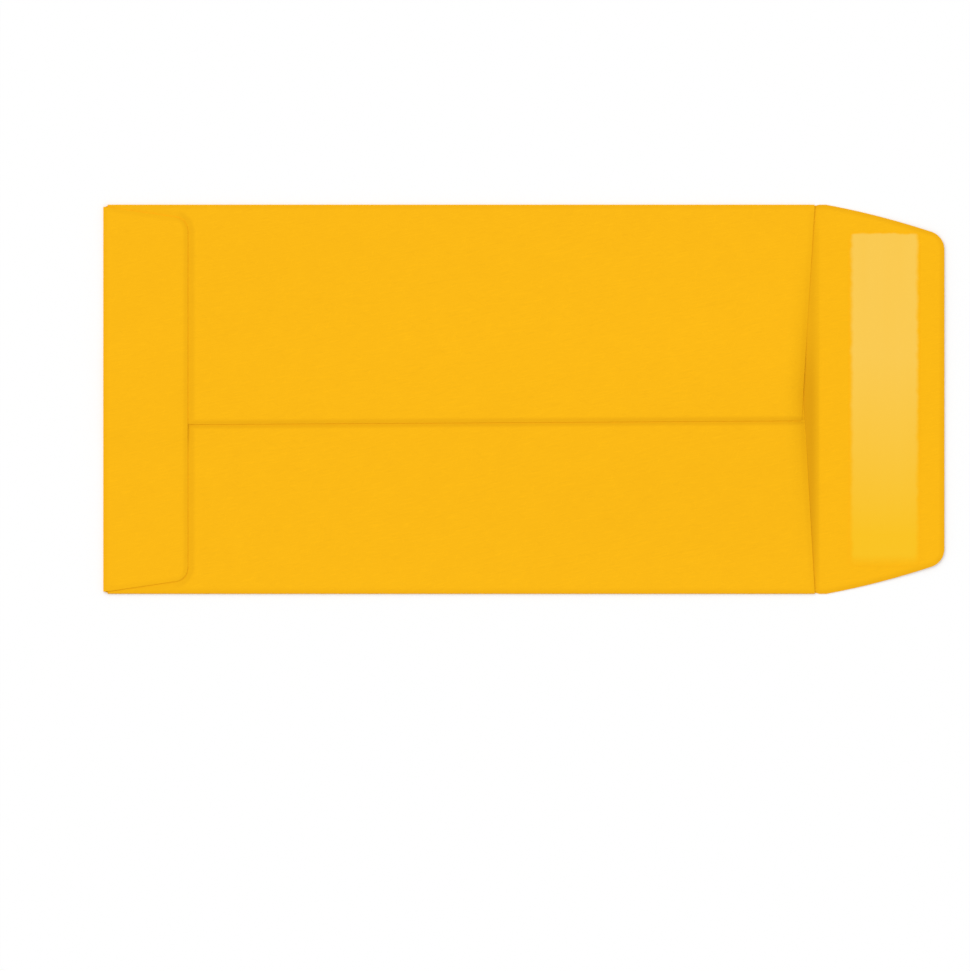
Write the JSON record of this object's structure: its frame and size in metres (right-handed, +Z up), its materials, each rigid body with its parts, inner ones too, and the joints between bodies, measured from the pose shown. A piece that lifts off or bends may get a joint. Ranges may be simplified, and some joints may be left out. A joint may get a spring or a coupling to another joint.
{
  "type": "coin envelope",
  "caption": "Long narrow coin envelope of golden kraft paper, empty, with a side seam, a folded bottom flap and an open gummed seal flap at one end.",
  "frame": {"origin": "on the table, under the middle of the whole outline with the seal flap open", "axes": "+X from the bottom fold towards the seal flap, +Z up out of the back of the envelope, where the seam is"},
  "size_m": [0.1922, 0.0888, 0.0023],
  "materials": {
    "kraft_paper": "matte",
    "dried_gum": "satin"
  },
  "bodies": {
    "root": {"envelope": "kraft_paper", "seal_gum": "dried_gum"}
  },
  "joints": []
}
